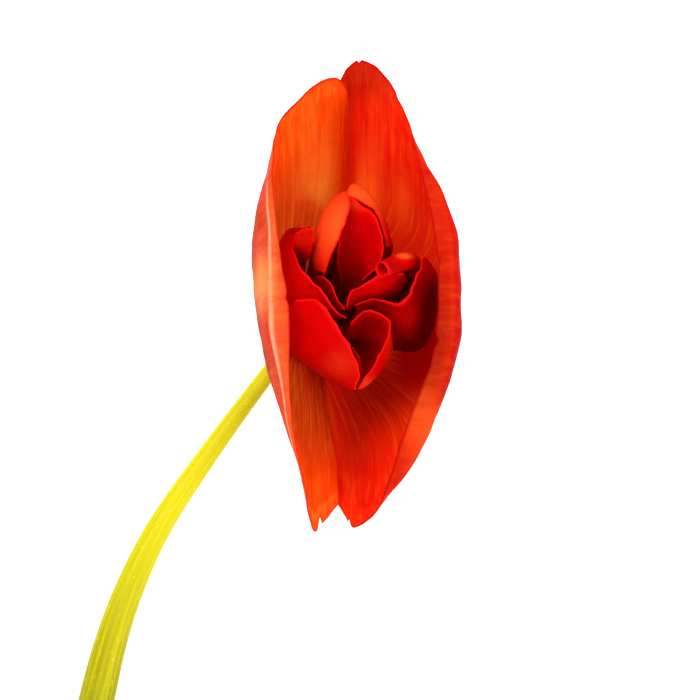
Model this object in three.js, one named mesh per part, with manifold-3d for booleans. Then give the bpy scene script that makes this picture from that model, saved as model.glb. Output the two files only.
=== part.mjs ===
// A cut double begonia flower, just opening, laid face up on a flat surface: two broad guard petals stand
// round a heart of folded inner petals on one small receptacle, and a fleshy stem lies along the surface.
// Units are millimetres and +Z is up. Points are measured from the spot on the surface under the
// receptacle, and the finished group is moved so that its origin is the middle of its footprint.

import * as THREE from "three";
import { mergeVertices } from "three/addons/utils/BufferGeometryUtils.js";
import Module from "manifold-3d";

const wasm = await Module();
wasm.setup();

// Driving dimensions.
const GUARD_THICKNESS = 0.8;
const PETAL_THICKNESS = 0.7;
const HEART_THICKNESS = 0.6;
const GAP = 0.3; // free space kept between neighbouring petals
const GUARD_STEPS = [30, 12]; // grid steps across the ribs and along them
const PETAL_STEPS = [12, 8];
const HEART_STEPS = [6, 6];
const SCROLL_STEPS = [16, 10];
const RECEPTACLE_STEPS = [20, 10]; // facets round the knob and from its foot to its top
const STEM_SIDES = 10;
const STEM_STEPS = 34;

// The receptacle is a small flattened knob.
const RECEPTACLE = { centre: [0.4, 0.3, 4.6], radius: 3.0, height: 2.8 };

const GUARD_RED = 0xe8480f;
const PETAL_RED = 0xc4060a;
const HEART_RED = 0x7a0206;
const STEM_GREEN = 0xd2cc32;
const RECEPTACLE_GREEN = 0xc2b93a;
const PETAL_ROUGHNESS = 0.5;
const STEM_ROUGHNESS = 0.4;
const WELD = 1e-4; // corners nearer than this are one corner

// Ring of the receptacle that a petal grows from: azimuths of its first and last rib, in degrees, and the
// ring's radius and height.
function seat(from, to, radius, height) {
  return { from, to, radius, height };
}

// Every petal is a fan of ribs that start on its seat. Each rib lists the points that it passes through,
// from the belly of the petal to its margin.
const GUARDS = {
  left_guard_petal: {
    seat: seat(70, 292, 3.7, 5.2),
    ribs: [
      [[3.4, 9.0, 3.6], [5.4, 17.0, 7.6], [6.4, 25.5, 14.8], [6.6, 32.5, 22.5], [6.3, 35.8, 27.0]],
      [[1.4, 9.6, 2.2], [3.8, 19.0, 8.0], [4.8, 27.5, 16.0], [5.0, 34.0, 24.5], [4.8, 37.1, 29.0]],
      [[-0.6, 9.4, 1.4], [1.4, 19.5, 8.8], [2.2, 27.5, 17.5], [2.4, 33.4, 26.0], [2.4, 36.4, 30.6]],
      [[-2.4, 8.6, 1.2], [-1.2, 19.0, 9.6], [-1.0, 26.5, 19.5], [-1.0, 31.2, 27.5], [-0.8, 33.6, 32.2]],
      [[-3.6, 7.6, 1.3], [-3.8, 17.6, 10.5], [-3.6, 24.0, 21.5], [-3.4, 28.6, 29.5], [-3.3, 30.6, 33.6]],
      [[-4.4, 6.4, 1.6], [-6.0, 15.4, 11.5], [-5.6, 21.0, 23.5], [-4.6, 25.2, 31.5], [-4.2, 26.8, 34.6]],
      [[-4.8, 4.8, 2.4], [-7.0, 12.0, 12.5], [-7.0, 16.5, 24.0], [-5.2, 20.4, 33.0], [-4.2, 21.4, 35.4]],
      [[-5.0, 2.8, 3.6], [-7.2, 8.4, 13.0], [-7.0, 12.4, 25.0], [-4.9, 15.2, 35.2], [-3.7, 15.6, 36.0]],
      [[-4.8, 0.8, 4.6], [-6.9, 4.6, 13.5], [-6.8, 7.6, 25.0], [-4.9, 9.8, 35.4], [-3.0, 10.3, 35.8]],
      [[-4.6, -0.8, 5.0], [-6.4, 0.8, 13.5], [-6.4, 2.8, 25.0], [-4.9, 4.4, 35.6], [-2.0, 4.8, 35.6]],
      [[-4.2, -2.2, 5.0], [-5.6, -2.6, 13.5], [-5.8, -2.0, 25.0], [-4.6, -0.6, 35.0], [-1.8, -0.2, 35.2]],
      [[-3.6, -3.6, 4.8], [-4.6, -6.4, 13.5], [-4.5, -7.0, 25.0], [-3.2, -6.6, 33.8], [-1.9, -6.2, 34.6]],
      [[-2.6, -5.2, 4.4], [-3.0, -10.2, 13.5], [-2.8, -12.6, 23.0], [-2.2, -13.2, 31.0], [-1.5, -13.0, 32.6]],
      [[-1.2, -6.2, 4.2], [-1.2, -13.4, 13.0], [-0.8, -17.8, 21.0], [-0.4, -20.2, 28.0], [0.0, -21.0, 29.6]],
      [[0.6, -6.8, 4.0], [0.9, -15.2, 11.4], [1.1, -21.2, 18.2], [1.2, -26.4, 23.8], [1.3, -28.7, 26.4]],
      [[1.7, -6.5, 4.0], [2.3, -14.4, 10.2], [2.7, -20.2, 16.2], [2.8, -25.4, 22.0], [2.8, -28.0, 24.6]],
      [[2.8, -6.2, 4.0], [3.8, -13.4, 8.8], [4.7, -18.6, 13.8], [5.0, -23.0, 18.8], [5.0, -25.4, 21.4]],
    ],
  },
  right_guard_petal: {
    seat: seat(108, -124, 3.9, 3.4),
    ribs: [
      [[0.4, 9.4, 0.9], [2.6, 17.4, 4.4], [3.8, 25.0, 10.8], [4.4, 32.0, 18.0], [4.6, 36.0, 23.0]],
      [[2.6, 10.2, 0.6], [5.6, 19.0, 4.8], [6.4, 27.5, 12.0], [6.6, 35.0, 20.5], [6.6, 38.9, 26.0]],
      [[4.6, 10.2, 0.5], [8.4, 19.5, 5.2], [8.6, 28.2, 13.0], [8.4, 35.8, 22.5], [8.3, 39.8, 27.6]],
      [[6.4, 9.8, 0.5], [11.2, 19.0, 6.2], [11.4, 27.5, 15.0], [11.2, 34.6, 24.0], [11.2, 38.2, 29.0]],
      [[7.8, 9.0, 0.5], [13.8, 17.6, 7.4], [14.0, 25.2, 17.5], [13.7, 31.6, 26.5], [13.5, 34.5, 30.8]],
      [[9.0, 8.0, 0.5], [16.0, 15.4, 9.0], [16.2, 22.2, 20.0], [15.7, 28.0, 29.0], [15.3, 30.2, 32.6]],
      [[10.0, 6.8, 0.5], [18.0, 12.8, 10.4], [18.6, 18.8, 22.5], [17.9, 24.0, 32.4], [16.6, 24.8, 34.4]],
      [[10.6, 5.4, 0.5], [19.2, 10.0, 11.6], [20.2, 15.4, 24.0], [19.8, 20.4, 33.8], [17.4, 21.2, 34.8]],
      [[11.0, 3.6, 0.5], [20.2, 6.6, 12.4], [21.8, 11.0, 24.5], [21.8, 15.2, 34.8], [18.6, 15.6, 35.2]],
      [[11.2, 1.8, 0.5], [20.6, 3.4, 13.0], [22.3, 6.8, 25.0], [22.2, 10.0, 35.4], [19.2, 10.3, 35.4]],
      [[11.0, 0.0, 0.5], [20.4, 0.2, 13.0], [22.4, 2.4, 25.0], [22.4, 4.6, 35.6], [19.4, 4.8, 35.4]],
      [[10.6, -1.6, 0.5], [19.8, -2.8, 12.8], [22.0, -1.8, 25.0], [22.3, -0.6, 35.4], [19.0, -0.4, 35.0]],
      [[9.8, -3.2, 0.6], [18.4, -6.0, 12.4], [20.6, -6.2, 24.0], [21.1, -6.0, 34.2], [17.8, -6.0, 34.2]],
      [[8.8, -4.6, 0.7], [16.4, -9.4, 11.8], [18.4, -11.2, 22.0], [19.0, -12.2, 31.8], [15.2, -12.4, 32.2]],
      [[7.4, -5.8, 0.9], [13.6, -12.6, 11.0], [15.0, -16.6, 19.6], [15.4, -19.8, 27.8], [12.8, -20.0, 29.6]],
      [[5.6, -6.8, 1.1], [10.2, -14.6, 9.6], [11.0, -20.0, 16.8], [11.0, -24.4, 23.8], [10.6, -26.4, 26.6]],
      [[3.6, -7.4, 1.2], [6.9, -15.2, 8.0], [7.5, -20.8, 14.4], [7.4, -26.0, 21.0], [7.2, -28.5, 24.4]],
      [[1.6, -7.4, 1.4], [4.0, -14.2, 6.0], [5.0, -19.6, 11.4], [5.8, -24.4, 17.6], [6.0, -26.9, 21.0]],
      [[-0.2, -6.8, 1.9], [1.4, -12.6, 5.2], [2.6, -17.8, 10.0], [4.1, -22.6, 15.4], [5.0, -25.4, 18.6]],
    ],
  },
};

const INNER_PETALS = {
  upper_back_petal: {
    seat: seat(95, 48, 2.2, 6.9),
    ribs: [
      [[5.0, 13.5, 16.0], [6.3, 19.6, 26.0], [6.2, 19.6, 31.2]],
      [[6.6, 14.5, 16.0], [7.3, 21.3, 27.0], [6.9, 19.6, 32.4]],
      [[8.6, 13.6, 16.0], [9.2, 20.2, 27.4], [8.7, 18.7, 32.8]],
      [[10.2, 12.0, 16.0], [11.1, 17.4, 27.4], [10.7, 17.0, 32.8]],
      [[11.2, 10.6, 16.0], [12.3, 14.4, 27.0], [11.9, 14.0, 32.2]],
      [[11.4, 9.4, 16.0], [12.9, 12.6, 26.0], [12.2, 12.3, 31.2]],
    ],
  },
  upper_hood_petal: {
    seat: seat(85, 45, 1.6, 7.4),
    ribs: [
      [[5.0, 5.8, 19.0], [5.1, 9.4, 25.5], [4.9, 11.6, 29.4]],
      [[5.5, 6.4, 19.0], [5.5, 12.6, 27.0], [6.3, 19.1, 32.6]],
      [[6.2, 6.6, 19.0], [7.2, 12.0, 26.4], [8.2, 18.4, 33.4]],
      [[6.8, 6.6, 19.0], [8.8, 11.4, 26.6], [10.4, 16.7, 33.8]],
      [[7.2, 6.2, 19.0], [9.6, 10.2, 27.0], [11.6, 13.4, 33.6]],
      [[7.4, 5.8, 19.0], [9.4, 8.6, 27.0], [11.2, 10.2, 32.4]],
      [[7.3, 5.4, 19.0], [8.3, 7.2, 26.4], [8.6, 7.6, 30.0]],
    ],
  },
  upper_left_petal: {
    seat: seat(104, 145, 2.2, 6.9),
    ribs: [
      [[4.0, 13.0, 17.0], [4.6, 19.2, 26.0], [5.6, 20.2, 31.0], [6.3, 20.4, 33.4]],
      [[2.0, 12.4, 17.0], [3.0, 17.4, 26.6], [4.8, 18.2, 32.4], [6.8, 18.2, 34.8]],
      [[1.0, 10.4, 17.0], [2.0, 14.2, 27.0], [3.6, 14.8, 32.2], [5.5, 14.4, 34.6]],
      [[0.9, 8.4, 17.0], [1.7, 11.4, 26.8], [2.7, 11.8, 31.4], [4.0, 11.2, 33.6]],
      [[1.7, 7.0, 17.0], [2.0, 8.8, 26.0], [2.4, 8.9, 29.8], [3.0, 8.6, 31.8]],
    ],
  },
  left_tucked_petal: {
    seat: seat(118, 100, 3.0, 6.2),
    ribs: [
      [[-1.9, 9.4, 18.0], [-1.5, 12.6, 27.0], [-1.0, 14.4, 32.0]],
      [[-1.4, 9.8, 18.0], [-0.6, 12.4, 27.4], [0.3, 14.9, 33.0]],
      [[-0.6, 9.8, 18.0], [0.5, 11.8, 27.4], [1.4, 14.9, 32.6]],
      [[0.2, 9.6, 18.0], [0.9, 11.0, 27.0], [1.5, 13.2, 31.4]],
    ],
  },
  left_wall_petal: {
    seat: seat(125, 208, 3.0, 6.2),
    ribs: [
      [[0.2, 12.0, 13.0], [0.4, 15.0, 17.0], [0.8, 15.8, 20.0]],
      [[-2.4, 11.6, 15.0], [-2.2, 15.0, 21.0], [-1.2, 14.2, 25.5]],
      [[-4.0, 9.2, 16.0], [-3.7, 11.8, 24.6], [-1.0, 10.8, 30.2]],
      [[-4.2, 6.8, 16.0], [-3.6, 8.2, 26.2], [0.8, 8.0, 32.0]],
      [[-4.0, 4.4, 16.0], [-3.0, 5.4, 26.6], [2.7, 6.2, 32.2]],
      [[-3.0, 2.2, 16.0], [-1.2, 3.2, 26.6], [4.2, 3.9, 32.0]],
      [[-1.2, 0.6, 16.0], [1.6, 1.6, 26.0], [6.3, 2.0, 30.8]],
    ],
  },
  left_inner_petal: {
    seat: seat(125, 205, 1.6, 7.4),
    ribs: [
      [[0.2, 7.0, 17.0], [1.6, 8.2, 25.0], [2.7, 8.2, 29.8]],
      [[0.4, 5.6, 17.0], [2.0, 7.0, 25.4], [4.0, 7.1, 30.8]],
      [[1.0, 4.0, 17.0], [2.7, 5.2, 25.4], [4.6, 5.4, 30.8]],
      [[2.2, 2.8, 17.0], [3.9, 3.6, 25.0], [6.0, 3.3, 29.8]],
    ],
  },
  lower_left_petal: {
    seat: seat(218, 290, 3.0, 6.2),
    ribs: [
      [[-4.2, 0.2, 17.0], [-3.4, 2.2, 26.4], [-1.1, 4.6, 32.0]],
      [[-3.4, -1.0, 17.0], [-2.3, 0.2, 27.4], [2.2, 4.7, 34.0]],
      [[-2.0, -2.6, 17.0], [-0.6, -2.2, 28.0], [4.5, 1.6, 34.8]],
      [[0.4, -4.4, 17.0], [1.8, -4.4, 28.2], [6.8, -1.9, 35.2]],
      [[3.2, -6.0, 17.0], [4.2, -6.4, 28.0], [8.1, -5.2, 34.8]],
      [[5.8, -7.2, 17.0], [6.6, -8.0, 27.0], [7.5, -8.3, 33.0]],
    ],
  },
  lower_right_petal: {
    seat: seat(-20, -75, 2.2, 6.9),
    ribs: [
      [[6.4, -1.0, 19.0], [6.6, 0.2, 25.6], [6.9, 1.3, 31.4]],
      [[7.4, -0.8, 19.0], [8.4, 1.2, 26.0], [9.0, 3.2, 33.0]],
      [[8.8, -1.4, 19.0], [10.6, 0.8, 26.0], [11.3, 2.6, 34.0]],
      [[9.8, -2.4, 19.0], [12.2, -0.8, 26.6], [12.6, 1.4, 34.8]],
      [[9.8, -3.8, 19.0], [12.5, -3.2, 27.0], [11.9, -1.6, 35.0]],
      [[8.8, -5.2, 19.0], [10.9, -6.0, 26.6], [10.1, -4.8, 34.6]],
      [[7.4, -6.0, 19.0], [8.6, -7.8, 26.0], [8.0, -8.2, 33.2]],
    ],
  },
  cup_liner_petal: {
    seat: seat(-30, -75, 1.6, 7.4),
    ribs: [
      [[5.4, -2.2, 18.0], [6.4, -2.4, 25.0], [7.2, -2.0, 30.0]],
      [[6.2, -3.2, 18.0], [7.2, -3.8, 25.0], [8.2, -3.8, 30.4]],
      [[6.8, -4.2, 18.0], [7.6, -5.4, 25.0], [8.4, -5.6, 29.6]],
    ],
  },
  right_lobe_petal: {
    seat: seat(35, -18, 1.6, 7.4),
    ribs: [
      [[5.4, 3.0, 19.0], [6.4, 3.5, 26.6], [6.3, 3.7, 30.4]],
      [[6.4, 3.8, 19.0], [7.6, 4.4, 27.4], [6.9, 5.9, 31.2]],
      [[8.0, 4.0, 19.0], [9.3, 4.9, 27.8], [8.5, 6.8, 32.0]],
      [[9.6, 4.2, 19.0], [11.1, 5.3, 28.2], [10.2, 7.8, 33.0]],
      [[11.4, 4.6, 19.0], [13.2, 5.9, 28.2], [12.3, 8.5, 33.3]],
      [[12.8, 5.4, 19.0], [14.9, 7.1, 27.6], [14.6, 8.6, 32.4]],
    ],
  },
  right_wall_petal: {
    seat: seat(40, -45, 3.1, 6.0),
    ribs: [
      [[14.6, 8.6, 16.0], [17.6, 10.8, 25.0], [17.1, 10.7, 31.6]],
      [[16.2, 7.0, 16.0], [19.2, 8.6, 25.4], [17.0, 9.3, 33.2]],
      [[16.8, 5.0, 16.0], [19.6, 5.6, 25.4], [15.9, 7.2, 33.4]],
      [[16.5, 2.4, 15.4], [19.2, 2.6, 24.6], [15.4, 5.8, 33.0]],
      [[15.6, -0.4, 14.4], [18.2, -0.4, 23.4], [14.9, 5.0, 32.7]],
      [[14.0, -2.2, 14.0], [16.4, -1.9, 22.8], [13.9, 4.4, 32.2]],
      [[11.8, -1.2, 15.0], [13.9, -0.2, 24.0], [12.7, 4.3, 31.6]],
      [[9.0, 2.2, 16.0], [10.6, 3.4, 25.6], [10.2, 4.9, 30.4]],
      [[6.6, 2.2, 16.0], [7.6, 2.8, 25.0], [7.4, 4.0, 29.0]],
    ],
  },
  heart_petal_1: {
    seat: seat(80, 20, 0.8, 8.0),
    ribs: [
      [[2.8, 6.0, 15.0], [3.4, 8.2, 20.5], [3.8, 9.8, 26.4]],
      [[3.4, 5.2, 15.0], [4.0, 7.0, 20.5], [4.4, 8.0, 25.4]],
      [[4.0, 4.4, 15.0], [4.5, 5.6, 20.5], [4.8, 6.2, 24.0]],
    ],
  },
  heart_petal_2: {
    seat: seat(130, 215, 0.8, 8.0),
    ribs: [
      [[1.9, 3.8, 15.0], [2.6, 4.9, 19.0], [3.1, 5.5, 22.0]],
      [[2.7, 3.0, 15.0], [3.5, 3.9, 19.0], [4.1, 4.4, 22.0]],
      [[3.5, 2.2, 15.0], [4.5, 2.9, 19.0], [5.3, 3.4, 21.6]],
    ],
  },
};

// The scroll is one petal rolled up into a short horn. Its middle line runs from the receptacle to the
// mouth, and its sheet winds once round that line, so that its two long edges overlap.
const SCROLL = {
  line: [
    [2.8, 0.9, 7.1],
    [9.5, 4.4, 13.0],
    [14.2, 7.0, 20.0],
    [15.8, 9.5, 26.0],
    [14.6, 10.1, 31.0],
    [11.3, 8.9, 34.2],
  ],
  radii: [0.3, 0.7, 1.1, 1.5, 1.6, 1.4],
  fromTurn: 0.12,
  turns: 1.0,
  tightening: 0.35, // share of the radius that the inner end has lost
};

// The stem lies on the surface and turns up into the receptacle.
const STEM_LINE = [
  [-35.0, -78.5],
  [-33.6, -67.0],
  [-31.6, -55.0],
  [-28.3, -42.8],
  [-22.9, -30.6],
  [-14.9, -18.5],
  [-5.9, -6.3],
];
const STEM_RADII = [3.1, 3.0, 2.8, 2.4, 2.0, 1.6, 1.25];
const STEM_TOP = [[-3.5, -3.7, 1.9], [-1.3, -1.5, 3.1]];
const STEM_TOP_RADII = [1.2, 1.2];

const group = new THREE.Group();

function curveThrough(points) {
  const knots = points.map((p) => (p.isVector3 ? p : new THREE.Vector3(...p)));
  return new THREE.CatmullRomCurve3(knots, false, "catmullrom", 0.5);
}

function seatPoint(place, share) {
  const azimuth = THREE.MathUtils.degToRad(place.from + (place.to - place.from) * share);
  return new THREE.Vector3(
    RECEPTACLE.centre[0] + place.radius * Math.cos(azimuth),
    RECEPTACLE.centre[1] + place.radius * Math.sin(azimuth),
    place.height,
  );
}

// The middle surface of a petal, as a grid of points: rows run across the ribs, from the seat to the margin.
function petalGrid(petal, [across, along]) {
  const last = petal.ribs.length - 1;
  const ribs = petal.ribs.map((rib, i) => curveThrough([seatPoint(petal.seat, i / last), ...rib]));
  const rows = [];
  for (let j = 0; j <= along; j++) {
    const row = curveThrough(ribs.map((rib) => rib.getPoint(j / along)));
    rows.push(Array.from({ length: across + 1 }, (_, i) => row.getPoint(i / across)));
  }
  return rows;
}

function scrollGrid(scroll, [across, along]) {
  const line = curveThrough(scroll.line);
  const radii = curveThrough(scroll.radii.map((r) => [r, 0, 0]));
  const rows = [];
  for (let j = 0; j <= along; j++) {
    const v = j / along;
    const centre = line.getPoint(v);
    const ahead = line.getTangent(v);
    const side = new THREE.Vector3(0, 0, 1).cross(ahead).normalize();
    const up = ahead.clone().cross(side);
    const radius = radii.getPoint(v).x;
    const row = [];
    for (let i = 0; i <= across; i++) {
      const u = i / across;
      const turn = 2 * Math.PI * (scroll.fromTurn + scroll.turns * u);
      const r = radius * (1 - scroll.tightening * u);
      row.push(
        centre
          .clone()
          .addScaledVector(side, r * Math.cos(turn))
          .addScaledVector(up, r * Math.sin(turn)),
      );
    }
    rows.push(row);
  }
  return rows;
}

function gridNormals(rows) {
  return rows.map((row, j) =>
    row.map((_, i) => {
      const across = row[Math.min(i + 1, row.length - 1)].clone().sub(row[Math.max(i - 1, 0)]);
      const above = rows[Math.min(j + 1, rows.length - 1)][i];
      const along = above.clone().sub(rows[Math.max(j - 1, 0)][i]);
      return across.cross(along).normalize();
    }),
  );
}

// A closed shell round a grid of points, half the thickness to each side of it.
function shellGeometry(rows, thickness) {
  const normals = gridNormals(rows);
  const columns = rows[0].length;
  const count = rows.length * columns;
  const positions = [];
  for (const side of [1, -1]) {
    rows.forEach((row, j) =>
      row.forEach((p, i) => {
        positions.push(...p.clone().addScaledVector(normals[j][i], (side * thickness) / 2));
      }),
    );
  }
  const indices = [];
  const quad = (a, b, c, d) => indices.push(a, b, c, a, c, d);
  for (let j = 0; j + 1 < rows.length; j++) {
    for (let i = 0; i + 1 < columns; i++) {
      const a = j * columns + i;
      const b = a + 1;
      const c = b + columns;
      const d = a + columns;
      quad(a, b, c, d);
      quad(count + d, count + c, count + b, count + a);
    }
  }
  const rim = [];
  for (let i = 0; i < columns - 1; i++) rim.push(i);
  for (let j = 0; j < rows.length - 1; j++) rim.push(j * columns + columns - 1);
  for (let i = columns - 1; i > 0; i--) rim.push((rows.length - 1) * columns + i);
  for (let j = rows.length - 1; j > 0; j--) rim.push(j * columns);
  rim.forEach((a, n) => {
    const b = rim[(n + 1) % rim.length];
    quad(b, a, count + a, count + b);
  });
  return indexedGeometry(positions, indices);
}

function indexedGeometry(positions, indices) {
  const geometry = new THREE.BufferGeometry();
  geometry.setAttribute("position", new THREE.Float32BufferAttribute(positions, 3));
  geometry.setIndex(indices);
  return geometry;
}

function solidOf(geometry) {
  const bare = geometry.clone();
  bare.deleteAttribute("normal");
  bare.deleteAttribute("uv");
  const merged = mergeVertices(bare, WELD);
  return new wasm.Manifold(
    new wasm.Mesh({
      numProp: 3,
      vertProperties: merged.attributes.position.array,
      triVerts: new Uint32Array(merged.index.array),
    }),
  );
}

function geometryOf(solid) {
  const mesh = solid.getMesh();
  const positions = [];
  for (let i = 0; i < mesh.numVert; i++) {
    positions.push(...mesh.vertProperties.subarray(i * mesh.numProp, i * mesh.numProp + 3));
  }
  return indexedGeometry(positions, Array.from(mesh.triVerts));
}

function largestPiece(solid) {
  return solid.decompose().reduce((best, piece) => (piece.volume() > best.volume() ? piece : best));
}

const placed = []; // solids already in the flower, each grown by the gap, that later petals give way to

function addSolid(name, thin, grown, colour, roughness) {
  let solid = thin;
  for (const neighbour of placed) {
    if (solid.intersect(neighbour).volume() > 0) {
      solid = solid.subtract(neighbour);
    }
  }
  placed.push(grown);
  const material = new THREE.MeshStandardMaterial({ color: colour, roughness, metalness: 0 });
  const mesh = new THREE.Mesh(geometryOf(largestPiece(solid)), material);
  mesh.name = name;
  group.add(mesh);
}

function addPetal(name, rows, thickness, colour) {
  const thin = solidOf(shellGeometry(rows, thickness));
  const grown = solidOf(shellGeometry(rows, thickness + 2 * GAP));
  addSolid(name, thin, grown, colour, PETAL_ROUGHNESS);
}

function receptacleGeometry(extra) {
  const radius = RECEPTACLE.radius + extra;
  const height = RECEPTACLE.height + extra;
  const [round, rise] = RECEPTACLE_STEPS;
  const profile = [];
  for (let i = 0; i <= rise; i++) {
    const angle = -Math.PI / 2 + (Math.PI * i) / rise;
    profile.push(new THREE.Vector2(i % rise ? radius * Math.cos(angle) : 0, height * Math.sin(angle)));
  }
  const geometry = new THREE.LatheGeometry(profile, round);
  geometry.rotateX(Math.PI / 2);
  geometry.translate(...RECEPTACLE.centre);
  return geometry;
}

// A tube of changing radius along a curve, closed at both ends by flat discs.
function stemGeometry(extra) {
  const lying = STEM_LINE.map(([x, y], i) => [x, y, STEM_RADII[i]]);
  const line = curveThrough([...lying, ...STEM_TOP]);
  const radii = curveThrough([...STEM_RADII, ...STEM_TOP_RADII].map((r) => [r, 0, 0]));
  const positions = [];
  const indices = [];
  for (let j = 0; j <= STEM_STEPS; j++) {
    const v = j / STEM_STEPS;
    const centre = line.getPoint(v);
    const ahead = line.getTangent(v);
    const side = new THREE.Vector3(0, 0, 1).cross(ahead).normalize();
    const up = ahead.clone().cross(side);
    const radius = radii.getPoint(v).x + extra;
    for (let i = 0; i < STEM_SIDES; i++) {
      const turn = (2 * Math.PI * (i + 0.5)) / STEM_SIDES;
      const p = centre
        .clone()
        .addScaledVector(side, radius * Math.sin(turn))
        .addScaledVector(up, radius * Math.cos(turn));
      positions.push(...p);
    }
  }
  for (let j = 0; j < STEM_STEPS; j++) {
    for (let i = 0; i < STEM_SIDES; i++) {
      const a = j * STEM_SIDES + i;
      const b = j * STEM_SIDES + ((i + 1) % STEM_SIDES);
      indices.push(a, a + STEM_SIDES, b + STEM_SIDES, a, b + STEM_SIDES, b);
    }
  }
  const end = STEM_STEPS * STEM_SIDES;
  for (let i = 1; i + 1 < STEM_SIDES; i++) {
    indices.push(0, i, i + 1, end, end + i + 1, end + i);
  }
  return indexedGeometry(positions, indices);
}

function addStalk(name, shape, colour) {
  addSolid(name, solidOf(shape(0)), solidOf(shape(GAP)), colour, STEM_ROUGHNESS);
}

addStalk("receptacle", receptacleGeometry, RECEPTACLE_GREEN);
addStalk("stem", stemGeometry, STEM_GREEN);
for (const [name, petal] of Object.entries(GUARDS)) {
  addPetal(name, petalGrid(petal, GUARD_STEPS), GUARD_THICKNESS, GUARD_RED);
}
for (const [name, petal] of Object.entries(INNER_PETALS)) {
  if (name.startsWith("heart")) {
    addPetal(name, petalGrid(petal, HEART_STEPS), HEART_THICKNESS, HEART_RED);
  } else {
    addPetal(name, petalGrid(petal, PETAL_STEPS), PETAL_THICKNESS, PETAL_RED);
  }
}
addPetal("right_scroll_petal", scrollGrid(SCROLL, SCROLL_STEPS), HEART_THICKNESS, PETAL_RED);

// The origin goes to the middle of the footprint, on the surface.
group.updateMatrixWorld(true);
const box = new THREE.Box3().setFromObject(group);
const middle = box.getCenter(new THREE.Vector3());
group.position.set(-middle.x, -middle.y, -box.min.z);

export default group;
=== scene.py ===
"""A cut double begonia flower, just opening, laid face up on a pale table.

Two broad guard petals stand round a heart of folded petals on one small receptacle, and a smooth stem
lies along the table. Lengths in the tables are millimetres, measured from the spot on the table under
the receptacle; the frame says where that spot is.
"""

import math

import bpy
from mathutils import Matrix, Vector, noise


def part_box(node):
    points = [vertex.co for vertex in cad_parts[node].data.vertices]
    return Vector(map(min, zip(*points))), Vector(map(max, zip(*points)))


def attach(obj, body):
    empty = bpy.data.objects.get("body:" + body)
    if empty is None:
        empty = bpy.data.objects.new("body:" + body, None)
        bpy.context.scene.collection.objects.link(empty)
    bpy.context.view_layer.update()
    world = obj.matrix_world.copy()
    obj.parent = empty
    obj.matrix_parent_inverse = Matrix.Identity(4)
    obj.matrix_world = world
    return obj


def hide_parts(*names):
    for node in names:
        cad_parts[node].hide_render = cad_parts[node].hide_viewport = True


bl_info = {
    "name": "Begonia Flower",
    "version": (1, 0, 0),
    "blender": (4, 5, 0),
    "location": "View3D > Sidebar > Begonia",
    "description": "Builds a cut double begonia flower with its stage",
    "category": "Add Mesh",
}

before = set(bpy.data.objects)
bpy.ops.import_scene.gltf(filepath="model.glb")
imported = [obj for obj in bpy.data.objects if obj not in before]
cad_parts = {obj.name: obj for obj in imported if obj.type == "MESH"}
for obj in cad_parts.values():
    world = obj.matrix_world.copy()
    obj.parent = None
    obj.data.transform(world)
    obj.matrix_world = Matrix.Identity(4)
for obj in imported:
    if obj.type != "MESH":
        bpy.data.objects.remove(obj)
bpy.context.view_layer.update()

MM = 0.001

# The receptacle is a flattened knob. Its centre is given from the spot that the tables are measured from.
RECEPTACLE_CENTRE = (0.4, 0.3, 4.6)
RECEPTACLE_RADIUS = 3.0
RECEPTACLE_HEIGHT = 2.8

# The petals' skins are rooted inside the receptacle: this share of a seat's radius, and so much lower.
ROOT_SHARE = 0.66
ROOT_DROP = 0.3

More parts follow.
